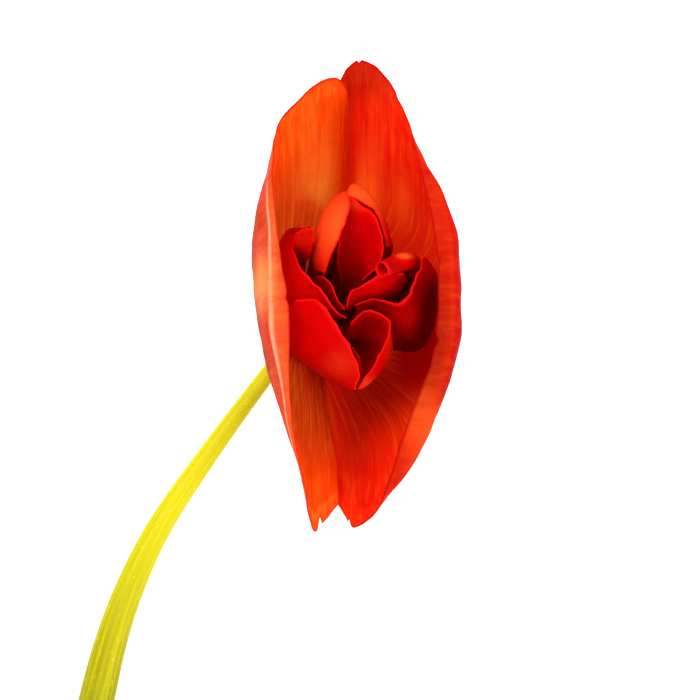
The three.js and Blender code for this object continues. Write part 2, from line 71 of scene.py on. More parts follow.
# A petal is a fan of ribs. "seat" says where they start: the azimuths of the first and last rib in
# degrees, and the radius and height of the ring that they stand on. Each rib lists the points that it
# passes through, from the petal's belly to its margin. "ruffle", "pleat" and "swell" are heights of the
# skin's waves. "fray" is the wear of the margin, as a share of a rib. A notch has its place along the margin,
# its width and its depth, as shares. A spot of glow has its middle, how far it spreads each way, and its
# strength, which is less than 0 for shade.
GUARDS = {
    "left_guard_petal": {
        "seat": (70, 292, 3.7, 5.2),
        "ruffle": 0.14,
        "fray": 0.01,
        "notches": [(0.922, 0.008, 0.13), (0.45, 0.006, 0.012), (0.56, 0.008, 0.02)],
        "glow": [
            (2.8, 22.0, 4.0, 8.0, 1.0),
            (6.6, 23.0, 0.9, 12.0, -0.8),
            (1.2, 17.8, 2.8, 2.8, -0.95),
            (2.5, -6.5, 3.0, 2.5, -0.3),
        ],
        "back_glow": [
            (-5.9, 7.0, 1.8, 4.5, 1.0),
            (-6.2, 16.5, 1.5, 3.5, -0.35),
            (-5.6, -4.5, 1.5, 4.5, -0.4),
        ],
        "ribs": [
            [(3.4, 9.0, 3.6), (5.4, 17.0, 7.6), (6.4, 25.5, 14.8), (6.6, 32.5, 22.5), (6.3, 35.8, 27.0)],
            [(1.4, 9.6, 2.2), (3.8, 19.0, 8.0), (4.8, 27.5, 16.0), (5.0, 34.0, 24.5), (4.8, 37.1, 29.0)],
            [(-0.6, 9.4, 1.4), (1.4, 19.5, 8.8), (2.2, 27.5, 17.5), (2.4, 33.4, 26.0), (2.4, 36.4, 30.6)],
            [(-2.4, 8.6, 1.2), (-1.2, 19.0, 9.6), (-1.0, 26.5, 19.5), (-1.0, 31.2, 27.5), (-0.8, 33.6, 32.2)],
            [(-3.6, 7.6, 1.3), (-3.8, 17.6, 10.5), (-3.6, 24, 21.5), (-3.4, 28.6, 29.5), (-3.3, 30.6, 33.6)],
            [(-4.4, 6.4, 1.6), (-6, 15.4, 11.5), (-5.6, 21, 23.5), (-4.6, 25.2, 31.5), (-4.2, 26.8, 34.6)],
            [(-4.8, 4.8, 2.4), (-7, 12, 12.5), (-7, 16.5, 24), (-5.2, 20.4, 33), (-4.2, 21.4, 35.4)],
            [(-5.0, 2.8, 3.6), (-7.2, 8.4, 13.0), (-7.0, 12.4, 25.0), (-4.9, 15.2, 35.2), (-3.7, 15.6, 36.0)],
            [(-4.8, 0.8, 4.6), (-6.9, 4.6, 13.5), (-6.8, 7.6, 25.0), (-4.9, 9.8, 35.4), (-3.0, 10.3, 35.8)],
            [(-4.6, -0.8, 5.0), (-6.4, 0.8, 13.5), (-6.4, 2.8, 25.0), (-4.9, 4.4, 35.6), (-2.0, 4.8, 35.6)],
            [(-4.2, -2.2, 5), (-5.6, -2.6, 13.5), (-5.8, -2, 25), (-4.6, -0.6, 35), (-1.8, -0.2, 35.2)],
            [(-3.6, -3.6, 4.8), (-4.6, -6.4, 13.5), (-4.5, -7, 25), (-3.2, -6.6, 33.8), (-1.9, -6.2, 34.6)],
            [(-2.6, -5.2, 4.4), (-3, -10.2, 13.5), (-2.8, -12.6, 23), (-2.2, -13.2, 31), (-1.5, -13, 32.6)],
            [(-1.2, -6.2, 4.2), (-1.2, -13.4, 13), (-0.8, -17.8, 21), (-0.4, -20.2, 28), (0, -21, 29.6)],
            [(0.6, -6.8, 4), (0.9, -15.2, 11.4), (1.1, -21.2, 18.2), (1.2, -26.4, 23.8), (1.3, -28.7, 26.4)],
            [(1.7, -6.5, 4), (2.3, -14.4, 10.2), (2.7, -20.2, 16.2), (2.8, -25.4, 22), (2.8, -28, 24.6)],
            [(2.8, -6.2, 4.0), (3.8, -13.4, 8.8), (4.7, -18.6, 13.8), (5.0, -23.0, 18.8), (5.0, -25.4, 21.4)],
        ],
    },
    "right_guard_petal": {
        "seat": (108, -124, 3.9, 3.4),
        "ruffle": 0.14,
        "fray": 0.01,
        "notches": [(0.908, 0.008, 0.07), (0.105, 0.006, 0.02), (0.62, 0.008, 0.03), (0.5, 0.006, 0.02)],
        "glow": [
            (9.4, 22.0, 2.2, 8.0, 0.9),
            (15.0, 21.0, 1.6, 5.0, 0.5),
            (9.5, 37.5, 7.0, 4.5, -0.55),
            (6.4, 27.0, 1.3, 9.0, -0.5),
            (17.5, 0.0, 3.4, 8.0, -1.5),
            (11.5, -8.5, 6.0, 6.5, -0.75),
            (7.5, -18.0, 3.5, 9.0, -0.45),
        ],
        "back_glow": [(17.0, -12.5, 3.0, 6.5, 0.9)],
        "ribs": [
            [(0.4, 9.4, 0.9), (2.6, 17.4, 4.4), (3.8, 25.0, 10.8), (4.4, 32.0, 18.0), (4.6, 36.0, 23.0)],
            [(2.6, 10.2, 0.6), (5.6, 19.0, 4.8), (6.4, 27.5, 12.0), (6.6, 35.0, 20.5), (6.6, 38.9, 26.0)],
            [(4.6, 10.2, 0.5), (8.4, 19.5, 5.2), (8.6, 28.2, 13.0), (8.4, 35.8, 22.5), (8.3, 39.8, 27.6)],
            [(6.4, 9.8, 0.5), (11.2, 19.0, 6.2), (11.4, 27.5, 15.0), (11.2, 34.6, 24.0), (11.2, 38.2, 29.0)],
            [(7.8, 9.0, 0.5), (13.8, 17.6, 7.4), (14.0, 25.2, 17.5), (13.7, 31.6, 26.5), (13.5, 34.5, 30.8)],
            [(9.0, 8.0, 0.5), (16.0, 15.4, 9.0), (16.2, 22.2, 20.0), (15.7, 28.0, 29.0), (15.3, 30.2, 32.6)],
            [(10, 6.8, 0.5), (18, 12.8, 10.4), (18.6, 18.8, 22.5), (17.9, 24, 32.4), (16.6, 24.8, 34.4)],
            [(10.6, 5.4, 0.5), (19.2, 10, 11.6), (20.2, 15.4, 24), (19.8, 20.4, 33.8), (17.4, 21.2, 34.8)],
            [(11.0, 3.6, 0.5), (20.2, 6.6, 12.4), (21.8, 11.0, 24.5), (21.8, 15.2, 34.8), (18.6, 15.6, 35.2)],
            [(11.2, 1.8, 0.5), (20.6, 3.4, 13.0), (22.3, 6.8, 25.0), (22.2, 10.0, 35.4), (19.2, 10.3, 35.4)],
            [(11.0, 0.0, 0.5), (20.4, 0.2, 13.0), (22.4, 2.4, 25.0), (22.4, 4.6, 35.6), (19.4, 4.8, 35.4)],
            [(10.6, -1.6, 0.5), (19.8, -2.8, 12.8), (22, -1.8, 25), (22.3, -0.6, 35.4), (19, -0.4, 35)],
            [(9.8, -3.2, 0.6), (18.4, -6, 12.4), (20.6, -6.2, 24), (21.1, -6, 34.2), (17.8, -6, 34.2)],
            [(8.8, -4.6, 0.7), (16.4, -9.4, 11.8), (18.4, -11.2, 22), (19, -12.2, 31.8), (15.2, -12.4, 32.2)],
            [(7.4, -5.8, 0.9), (13.6, -12.6, 11), (15, -16.6, 19.6), (15.4, -19.8, 27.8), (12.8, -20, 29.6)],
            [(5.6, -6.8, 1.1), (10.2, -14.6, 9.6), (11, -20, 16.8), (11, -24.4, 23.8), (10.6, -26.4, 26.6)],
            [(3.6, -7.4, 1.2), (6.9, -15.2, 8.0), (7.5, -20.8, 14.4), (7.4, -26.0, 21.0), (7.2, -28.5, 24.4)],
            [(1.6, -7.4, 1.4), (4.0, -14.2, 6.0), (5.0, -19.6, 11.4), (5.8, -24.4, 17.6), (6.0, -26.9, 21.0)],
            [(-0.2, -6.8, 1.9), (1.4, -12.6, 5.2), (2.6, -17.8, 10), (4.1, -22.6, 15.4), (5, -25.4, 18.6)],
        ],
    },
}

INNER = {
    "upper_back_petal": {
        "seat": (95, 48, 2.2, 6.9),
        "glow": [(8.0, 19.4, 5.0, 4.0, 0.8)],
        "ribs": [
            [(5.0, 13.5, 16.0), (6.3, 19.6, 26.0), (6.2, 19.6, 31.2)],
            [(6.6, 14.5, 16.0), (7.3, 21.3, 27.0), (6.9, 19.6, 32.4)],
            [(8.6, 13.6, 16.0), (9.2, 20.2, 27.4), (8.7, 18.7, 32.8)],
            [(10.2, 12.0, 16.0), (11.1, 17.4, 27.4), (10.7, 17.0, 32.8)],
            [(11.2, 10.6, 16.0), (12.3, 14.4, 27.0), (11.9, 14.0, 32.2)],
            [(11.4, 9.4, 16.0), (12.9, 12.6, 26.0), (12.2, 12.3, 31.2)],
        ],
    },
    "upper_hood_petal": {
        "seat": (85, 45, 1.6, 7.4),
        "glow": [(8.0, 7.5, 5.0, 3.0, -0.3), (8.8, 18.6, 2.4, 0.9, 0.6)],
        "ribs": [
            [(5.0, 5.8, 19.0), (5.1, 9.4, 25.5), (4.9, 11.6, 29.4)],
            [(5.5, 6.4, 19.0), (5.5, 12.6, 27.0), (6.3, 19.1, 32.6)],
            [(6.2, 6.6, 19.0), (7.2, 12.0, 26.4), (8.2, 18.4, 33.4)],
            [(6.8, 6.6, 19.0), (8.8, 11.4, 26.6), (10.4, 16.7, 33.8)],
            [(7.2, 6.2, 19.0), (9.6, 10.2, 27.0), (11.6, 13.4, 33.6)],
            [(7.4, 5.8, 19.0), (9.4, 8.6, 27.0), (11.2, 10.2, 32.4)],
            [(7.3, 5.4, 19.0), (8.3, 7.2, 26.4), (8.6, 7.6, 30.0)],
        ],
    },
    "upper_left_petal": {
        "seat": (104, 145, 2.2, 6.9),
        "glow": [(4.5, 16.0, 4.0, 6.0, 0.75)],
        "ribs": [
            [(4.0, 13.0, 17.0), (4.6, 19.2, 26.0), (5.6, 20.2, 31.0), (6.3, 20.4, 33.4)],
            [(2.0, 12.4, 17.0), (3.0, 17.4, 26.6), (4.8, 18.2, 32.4), (6.8, 18.2, 34.8)],
            [(1.0, 10.4, 17.0), (2.0, 14.2, 27.0), (3.6, 14.8, 32.2), (5.5, 14.4, 34.6)],
            [(0.9, 8.4, 17.0), (1.7, 11.4, 26.8), (2.7, 11.8, 31.4), (4.0, 11.2, 33.6)],
            [(1.7, 7.0, 17.0), (2.0, 8.8, 26.0), (2.4, 8.9, 29.8), (3.0, 8.6, 31.8)],
        ],
    },
    "left_tucked_petal": {
        "seat": (118, 100, 3.0, 6.2),
        "glow": [(0.2, 13.6, 2.4, 1.8, 0.2)],
        "ribs": [
            [(-1.9, 9.4, 18.0), (-1.5, 12.6, 27.0), (-1.0, 14.4, 32.0)],
            [(-1.4, 9.8, 18.0), (-0.6, 12.4, 27.4), (0.3, 14.9, 33.0)],
            [(-0.6, 9.8, 18.0), (0.5, 11.8, 27.4), (1.4, 14.9, 32.6)],
            [(0.2, 9.6, 18.0), (0.9, 11.0, 27.0), (1.5, 13.2, 31.4)],
        ],
    },
    "left_wall_petal": {
        "seat": (125, 208, 3.0, 6.2),
        "glow": [(0.0, 15.5, 3.0, 2.0, -0.35), (-1.5, 9.0, 4.0, 6.0, -0.25), (4.0, 3.5, 3.0, 3.0, -0.6)],
        "ribs": [
            [(0.2, 12.0, 13.0), (0.4, 15.0, 17.0), (0.8, 15.8, 20.0)],
            [(-2.4, 11.6, 15.0), (-2.2, 15.0, 21.0), (-1.2, 14.2, 25.5)],
            [(-4.0, 9.2, 16.0), (-3.7, 11.8, 24.6), (-1.0, 10.8, 30.2)],
            [(-4.2, 6.8, 16.0), (-3.6, 8.2, 26.2), (0.8, 8.0, 32.0)],
            [(-4.0, 4.4, 16.0), (-3.0, 5.4, 26.6), (2.7, 6.2, 32.2)],
            [(-3.0, 2.2, 16.0), (-1.2, 3.2, 26.6), (4.2, 3.9, 32.0)],
            [(-1.2, 0.6, 16.0), (1.6, 1.6, 26.0), (6.3, 2.0, 30.8)],
        ],
    },
    "left_inner_petal": {
        "seat": (125, 205, 1.6, 7.4),
        "glow": [(3.5, 6.0, 4.0, 4.0, -0.6)],
        "ribs": [
            [(0.2, 7.0, 17.0), (1.6, 8.2, 25.0), (2.7, 8.2, 29.8)],
            [(0.4, 5.6, 17.0), (2.0, 7.0, 25.4), (4.0, 7.1, 30.8)],
            [(1.0, 4.0, 17.0), (2.7, 5.2, 25.4), (4.6, 5.4, 30.8)],
            [(2.2, 2.8, 17.0), (3.9, 3.6, 25.0), (6.0, 3.3, 29.8)],
        ],
    },
    "lower_left_petal": {
        "seat": (218, 290, 3.0, 6.2),
        "glow": [(5.5, -4.5, 3.0, 2.5, 0.25), (0.0, 1.0, 2.5, 3.0, -0.2)],
        "ribs": [
            [(-4.2, 0.2, 17.0), (-3.4, 2.2, 26.4), (-1.1, 4.6, 32.0)],
            [(-3.4, -1.0, 17.0), (-2.3, 0.2, 27.4), (2.2, 4.7, 34.0)],
            [(-2.0, -2.6, 17.0), (-0.6, -2.2, 28.0), (4.5, 1.6, 34.8)],
            [(0.4, -4.4, 17.0), (1.8, -4.4, 28.2), (6.8, -1.9, 35.2)],
            [(3.2, -6.0, 17.0), (4.2, -6.4, 28.0), (8.1, -5.2, 34.8)],
            [(5.8, -7.2, 17.0), (6.6, -8.0, 27.0), (7.5, -8.3, 33.0)],
        ],
    },
    "lower_right_petal": {
        "seat": (-20, -75, 2.2, 6.9),
        "glow": [(12.8, -3.5, 1.2, 4.0, 0.2), (9.5, -7.4, 2.5, 1.2, 0.5)],
        "ribs": [
            [(6.4, -1.0, 19.0), (6.6, 0.2, 25.6), (6.9, 1.3, 31.4)],
            [(7.4, -0.8, 19.0), (8.4, 1.2, 26.0), (9.0, 3.2, 33.0)],
            [(8.8, -1.4, 19.0), (10.6, 0.8, 26.0), (11.3, 2.6, 34.0)],
            [(9.8, -2.4, 19.0), (12.2, -0.8, 26.6), (12.6, 1.4, 34.8)],
            [(9.8, -3.8, 19.0), (12.5, -3.2, 27.0), (11.9, -1.6, 35.0)],
            [(8.8, -5.2, 19.0), (10.9, -6.0, 26.6), (10.1, -4.8, 34.6)],
            [(7.4, -6.0, 19.0), (8.6, -7.8, 26.0), (8.0, -8.2, 33.2)],
        ],
    },
    "cup_liner_petal": {
        "seat": (-30, -75, 1.6, 7.4),
        "glow": [(8.0, -2.0, 4.0, 4.0, -0.5)],
        "ribs": [
            [(5.4, -2.2, 18.0), (6.4, -2.4, 25.0), (7.2, -2.0, 30.0)],
            [(6.2, -3.2, 18.0), (7.2, -3.8, 25.0), (8.2, -3.8, 30.4)],
            [(6.8, -4.2, 18.0), (7.6, -5.4, 25.0), (8.4, -5.6, 29.6)],
        ],
    },
    "right_lobe_petal": {
        "seat": (35, -18, 1.6, 7.4),
        "glow": [(9.0, 4.4, 5.0, 1.6, -0.4)],
        "ribs": [
            [(5.4, 3.0, 19.0), (6.4, 3.5, 26.6), (6.3, 3.7, 30.4)],
            [(6.4, 3.8, 19.0), (7.6, 4.4, 27.4), (6.9, 5.9, 31.2)],
            [(8.0, 4.0, 19.0), (9.3, 4.9, 27.8), (8.5, 6.8, 32.0)],
            [(9.6, 4.2, 19.0), (11.1, 5.3, 28.2), (10.2, 7.8, 33.0)],
            [(11.4, 4.6, 19.0), (13.2, 5.9, 28.2), (12.3, 8.5, 33.3)],
            [(12.8, 5.4, 19.0), (14.9, 7.1, 27.6), (14.6, 8.6, 32.4)],
        ],
    },
    "right_wall_petal": {
        "seat": (40, -45, 3.1, 6.0),
        "glow": [
            (19.2, 2.0, 2.4, 6.0, -1.5),
            (15.8, -3.0, 4.0, 3.5, -1.0),
            (10.0, 3.5, 4.0, 1.6, -0.5),
            (15.5, 7.0, 2.5, 3.0, -0.4),
        ],
        "ribs": [
            [(14.6, 8.6, 16.0), (17.6, 10.8, 25.0), (17.1, 10.7, 31.6)],
            [(16.2, 7.0, 16.0), (19.2, 8.6, 25.4), (17.0, 9.3, 33.2)],
            [(16.8, 5.0, 16.0), (19.6, 5.6, 25.4), (15.9, 7.2, 33.4)],
            [(16.5, 2.4, 15.4), (19.2, 2.6, 24.6), (15.4, 5.8, 33.0)],
            [(15.6, -0.4, 14.4), (18.2, -0.4, 23.4), (14.9, 5.0, 32.7)],
            [(14.0, -2.2, 14.0), (16.4, -1.9, 22.8), (13.9, 4.4, 32.2)],
            [(11.8, -1.2, 15.0), (13.9, -0.2, 24.0), (12.7, 4.3, 31.6)],
            [(9.0, 2.2, 16.0), (10.6, 3.4, 25.6), (10.2, 4.9, 30.4)],
            [(6.6, 2.2, 16.0), (7.6, 2.8, 25.0), (7.4, 4.0, 29.0)],
        ],
    },
    "heart_petal_1": {
        "seat": (80, 20, 0.8, 8.0),
        "ribs": [
            [(2.8, 6.0, 15.0), (3.4, 8.2, 20.5), (3.8, 9.8, 26.4)],
            [(3.4, 5.2, 15.0), (4.0, 7.0, 20.5), (4.4, 8.0, 25.4)],
            [(4.0, 4.4, 15.0), (4.5, 5.6, 20.5), (4.8, 6.2, 24.0)],
        ],
    },
    "heart_petal_2": {
        "seat": (130, 215, 0.8, 8.0),
        "ribs": [
            [(1.9, 3.8, 15.0), (2.6, 4.9, 19.0), (3.1, 5.5, 22.0)],
            [(2.7, 3.0, 15.0), (3.5, 3.9, 19.0), (4.1, 4.4, 22.0)],
            [(3.5, 2.2, 15.0), (4.5, 2.9, 19.0), (5.3, 3.4, 21.6)],
        ],
    },
}

# A scroll is one petal rolled up round a middle line into a horn.
SCROLL = {
    "line": [
        (2.8, 0.9, 7.1),
        (9.5, 4.4, 13.0),
        (14.2, 7.0, 20.0),
        (15.8, 9.5, 26.0),
        (14.6, 10.1, 31.0),
        (11.3, 8.9, 34.2),
    ],
    "radii": (0.3, 0.7, 1.1, 1.5, 1.6, 1.4),
    "from_turn": 0.12,
    "turns": 1.0,
    "tightening": 0.35,
    "ruffle": 0.05,
    "swell": 0.03,
    "thickness": (0.4, 0.25),
    "glow": [(14.6, 11.0, 1.4, 0.6, 1.0), (13.0, 9.4, 3.0, 1.4, -0.5)],
}

# Grid steps: across and along a guard petal, across the scroll, round and along the stem, and round the
# receptacle and up it.
GUARD_STEPS = (220, 90)
SCROLL_STEPS = 96
STEM_STEPS = (48, 200)
RECEPTACLE_STEPS = (48, 24)

# A seed picks a petal's own waves: the first inner petal's, the step from one to the next, the scroll's.
GUARD_SEED_STEP = 11.3
INNER_SEED = 3.7
INNER_SEED_STEP = 7.9
SCROLL_SEED = 91.0

FLOOR_HALF = 1.5  # metres
SENSOR_WIDTH = 36.0
EYE_OVER = (6.8, -2.5, 30.0)  # the spot under the camera, at about the height of the petals' margins

STEM_LINE = [
    (-35.0, -78.5),
    (-33.6, -67.0),
    (-31.6, -55.0),
    (-28.3, -42.8),
    (-22.9, -30.6),
    (-14.9, -18.5),
    (-5.9, -6.3),
]
STEM_RADII = (3.1, 3.0, 2.8, 2.4, 2.0, 1.6, 1.25)
STEM_TOP = [(-3.5, -3.7, 1.9), (-1.3, -1.5, 3.1)]
STEM_TOP_RADII = (1.2, 1.2)


def row_shift():
    """Where the tables' measuring spot is in the row frame, in metres."""
    low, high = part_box("receptacle")
    middle = [(low[i] + high[i]) / 2 for i in range(2)]
    return Vector(
        (
            middle[0] - RECEPTACLE_CENTRE[0] * MM,
            middle[1] - RECEPTACLE_CENTRE[1] * MM,
            low[2] - (RECEPTACLE_CENTRE[2] - RECEPTACLE_HEIGHT) * MM,
        )
    )


SHIFT = row_shift()


def smooth_line(points, t):
    """The point at share t of a smooth line through the points, with even steps from knot to knot."""
    spans = len(points) - 1
    at = min(max(t, 0.0), 1.0) * spans
    i = min(int(at), spans - 1)
    f = at - i
    a, b = points[i], points[i + 1]
    before = points[i - 1] if i > 0 else a * 2 - b
    after = points[i + 2] if i + 2 <= spans else b * 2 - a
    return (
        b * 0.5 * (f + 4 * f**2 - 3 * f**3)
        + a * 0.5 * (2 - 5 * f**2 + 3 * f**3)
        + before * 0.5 * (2 * f**2 - f - f**3)
        + after * 0.5 * (f**3 - f**2)
    )


def smooth_number(numbers, t):
    return smooth_line([Vector((n, 0, 0)) for n in numbers], t).x


def seat_point(seat, share):
    """Where the rib at a share of the fan is rooted in the receptacle."""
    first, last, radius, height = seat
    azimuth = math.radians(first + (last - first) * share)
    return Vector(
        (
            RECEPTACLE_CENTRE[0] + ROOT_SHARE * radius * math.cos(azimuth),
            RECEPTACLE_CENTRE[1] + ROOT_SHARE * radius * math.sin(azimuth),
            height - ROOT_DROP,
        )
    )


def bump(x, centre, width):
    """A smooth hill of height 1 that is centred on a share and about as wide as said."""
    return math.exp(-(((x - centre) / width) ** 2))


def petal_grid(shape, across, along):
    """Rows of points from the seat to the margin, in millimetres."""
    ribs_in = shape["ribs"]
    last = len(ribs_in) - 1
    ribs = []
    for i, rib in enumerate(ribs_in):
        ribs.append([seat_point(shape["seat"], i / last)] + [Vector(p) for p in rib])
    notches = shape.get("notches", ())
    fray = shape.get("fray", 0.004)
    shares = []
    for i in range(across + 1):
        u = i / across
        worn = fray * (0.5 + noise.noise(Vector((u * 30.0, last, 0.0))))
        shares.append(1 - worn - sum(depth * bump(u, centre, width) for centre, width, depth in notches))
    levels = [[smooth_line(rib, j / (4 * along)) for rib in ribs] for j in range(4 * along + 1)]
    rows = []
    for j in range(along + 1):
        row = []
        for i in range(across + 1):
            u = i / across
            v = (j / along) * (1 - (1 - shares[i]) * (j / along) ** 6)
            at = v * 4 * along
            k = min(int(at), 4 * along - 1)
            low = smooth_line(levels[k], u)
            high = smooth_line(levels[k + 1], u)
            row.append(low.lerp(high, at - k))
        rows.append(row)
    return rows


def scroll_grid(shape, across, along):
    """Rows of points round a line, where the sheet winds once and a little inwards."""
    line = [Vector(p) for p in shape["line"]]
    rows = []
    for j in range(along + 1):
        v = j / along
        centre = smooth_line(line, v)
        ahead = (smooth_line(line, v + 0.01) - smooth_line(line, v - 0.01)).normalized()
        side = Vector((0, 0, 1)).cross(ahead).normalized()
        up = ahead.cross(side)
        radius = smooth_number(shape["radii"], v)
        row = []
        for i in range(across + 1):
            u = i / across
            turn = 2 * math.pi * (shape["from_turn"] + shape["turns"] * u)
            r = radius * (1 - shape["tightening"] * u)
            row.append(centre + side * (r * math.cos(turn)) + up * (r * math.sin(turn)))
        rows.append(row)
    return rows


def grid_normals(rows):
    last_row, last_column = len(rows) - 1, len(rows[0]) - 1
    normals = []
    for j, row in enumerate(rows):
        line = []
        for i in range(last_column + 1):
            across = row[min(i + 1, last_column)] - row[max(i - 1, 0)]
            along = rows[min(j + 1, last_row)][i] - rows[max(j - 1, 0)][i]
            line.append(across.cross(along).normalized())
        normals.append(line)
    return normals


def relief(shape, seed, point, u, v):
    """How far the living petal's skin stands off the smooth form, in millimetres."""
    ruffle, pleat, swell = shape.get("ruffle", 0.25), shape.get("pleat", 0.05), shape.get("swell", 0.2)
    wave = noise.noise(point * 0.28 + Vector((seed, 0, 0)))
    curl = noise.noise(point * 0.75 + Vector((0, seed, 0)))
    ridge = noise.noise(Vector((u * 26.0 + seed, v * 1.4, 0)))
    fine = noise.noise(Vector((u * 70.0 + seed, v * 2.5, 4.0)))
    edge = v**7
    return swell * wave * min(v * 3, 1) + ruffle * curl * edge + pleat * (ridge + 0.5 * fine) * min(v * 4, 1)


def glow_at(spots, point):
    """How strongly light soaks through a petal at a place: 0.5 is plain, 1 is full glow, 0 is deep shade."""
    total = 0.0
    for x, y, wide, tall, strength in spots:
        total += strength * math.exp(-(((point.x - x) / wide) ** 2) - ((point.y - y) / tall) ** 2)
    return min(max(0.5 + total / 2, 0.0), 1.0)


def petal_mesh(name, rows, shape, seed):
    """A closed skin round the grid, thick at the seat and thin at the margins."""
    normals = grid_normals(rows)
    across, along = len(rows[0]) - 1, len(rows) - 1
    base, rim = shape.get("thickness", (0.7, 0.28))
    first, last = shape.get("seat", (0, 1))[:2]
    faces_in = 1.0 if first > last else 0.0
    inside = shape.get("glow", ())
    outside = shape.get("back_glow", inside)
    skins = {1: [], -1: []}
    forms = []
    for j, row in enumerate(rows):
        v = j / along
        for i, point in enumerate(row):
            u = i / across
            normal = normals[j][i]
            middle = point + normal * relief(shape, seed, point, u, v)
            side_edge = min(u, 1 - u) * across / 3.0
            end_edge = (1 - v) * along / 3.0
            near = min(1.0, side_edge, end_edge)
            thick = (base + (rim - base) * v**1.5) * (0.45 + 0.55 * math.sqrt(max(near, 0)))
            for side in skins:
                skins[side].append((middle + normal * (side * thick / 2)) * MM + SHIFT)
            forms.append((u, v, glow_at(inside, point), glow_at(outside, point)))
    columns = across + 1
    count = len(forms)
    faces = []
    for j in range(along):
        for i in range(across):
            a = j * columns + i
            b, c, d = a + 1, a + columns + 1, a + columns
            faces.append((a, b, c, d))
            faces.append((count + d, count + c, count + b, count + a))
    ring = list(range(across))
    ring += [j * columns + across for j in range(along)]
    ring += [along * columns + i for i in range(across, 0, -1)]
    ring += [j * columns for j in range(along, 0, -1)]
    for n, a in enumerate(ring):
        b = ring[(n + 1) % len(ring)]
        faces.append((b, a, count + a, count + b))
    mesh = bpy.data.meshes.new(name)
    mesh.from_pydata(skins[1] + skins[-1], [], faces)
    mesh.attributes.new("form", "FLOAT_COLOR", "POINT")
    mesh.attributes.new("glow", "FLOAT", "POINT")
    form, light = mesh.attributes["form"], mesh.attributes["glow"]
    for n, (u, v, glow_in, glow_out) in enumerate(forms):
        form.data[n].color = (u, v, faces_in, 1.0)
        form.data[n + count].color = (u, v, 1.0 - faces_in, 1.0)
        light.data[n].value = glow_in if faces_in else glow_out
        light.data[n + count].value = glow_out if faces_in else glow_in
    uv = mesh.uv_layers.new(name="Petal")
    for loop in mesh.loops:
        uv.data[loop.index].uv = forms[loop.vertex_index % count][:2]
    mesh.shade_smooth()
    return mesh


def add_piece(mesh, material, node):
    """Puts a finished mesh in the scene in place of its solid."""
    piece = bpy.data.objects.new(node + "_skin", mesh)
    bpy.context.scene.collection.objects.link(piece)
    mesh.materials.append(material)
    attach(piece, "root")
    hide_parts(node)
    return piece


class Nodes:
    """Short ways to add and join the nodes of one material."""

    def __init__(self, name):
        self.material = bpy.data.materials.new(name)
        self.material.use_nodes = True
        self.tree = self.material.node_tree
        self.tree.nodes.clear()

    def add(self, kind, **settings):
        node = self.tree.nodes.new(kind)
        for key, value in settings.items():
            setattr(node, key, value)
        return node

    def join(self, source, target):
        self.tree.links.new(source, target)

    def feed(self, socket, value):
        if isinstance(value, bpy.types.NodeSocket):
            self.join(value, socket)
        elif isinstance(value, (tuple, list)) and len(value) == 3 and socket.type == "RGBA":
            socket.default_value = (*value, 1.0)
        else:
            socket.default_value = value

    def maths(self, operation, a, b=0.0, clamp=False):
        node = self.add("ShaderNodeMath", operation=operation, use_clamp=clamp)
        self.feed(node.inputs[0], a)
        self.feed(node.inputs[1], b)
        return node.outputs[0]

    def blend(self, share, a, b, kind="MIX"):
        node = self.add("ShaderNodeMix", data_type="RGBA", blend_type=kind)
        self.feed(node.inputs["Factor"], share)
        self.feed(node.inputs[6], a)
        self.feed(node.inputs[7], b)
        return node.outputs[2]

    def noise(self, vector, scale, detail=3.0, roughness=0.55):
        node = self.add("ShaderNodeTexNoise")
        self.join(vector, node.inputs["Vector"])
        node.inputs["Scale"].default_value = scale
        node.inputs["Detail"].default_value = detail
        node.inputs["Roughness"].default_value = roughness
        return node.outputs["Fac"]

    def rise(self, value, low, high, to_low=0.0, to_high=1.0):
        node = self.add("ShaderNodeMapRange", interpolation_type="SMOOTHSTEP")
        self.feed(node.inputs["Value"], value)
        for key, number in (("From Min", low), ("From Max", high), ("To Min", to_low), ("To Max", to_high)):
            node.inputs[key].default_value = number
        return node.outputs["Result"]

    def combine(self, x, y, z=0.0):
        node = self.add("ShaderNodeCombineXYZ")
        for socket, value in zip(node.inputs, (x, y, z)):
            self.feed(socket, value)
        return node.outputs[0]


def linear(red, green, blue):
    """A screen colour from 0 to 255 as scene-linear numbers."""

    def one(channel):
        c = channel / 255
        return c / 12.92 if c <= 0.04045 else ((c + 0.055) / 1.055) ** 2.4

    return (one(red), one(green), one(blue))


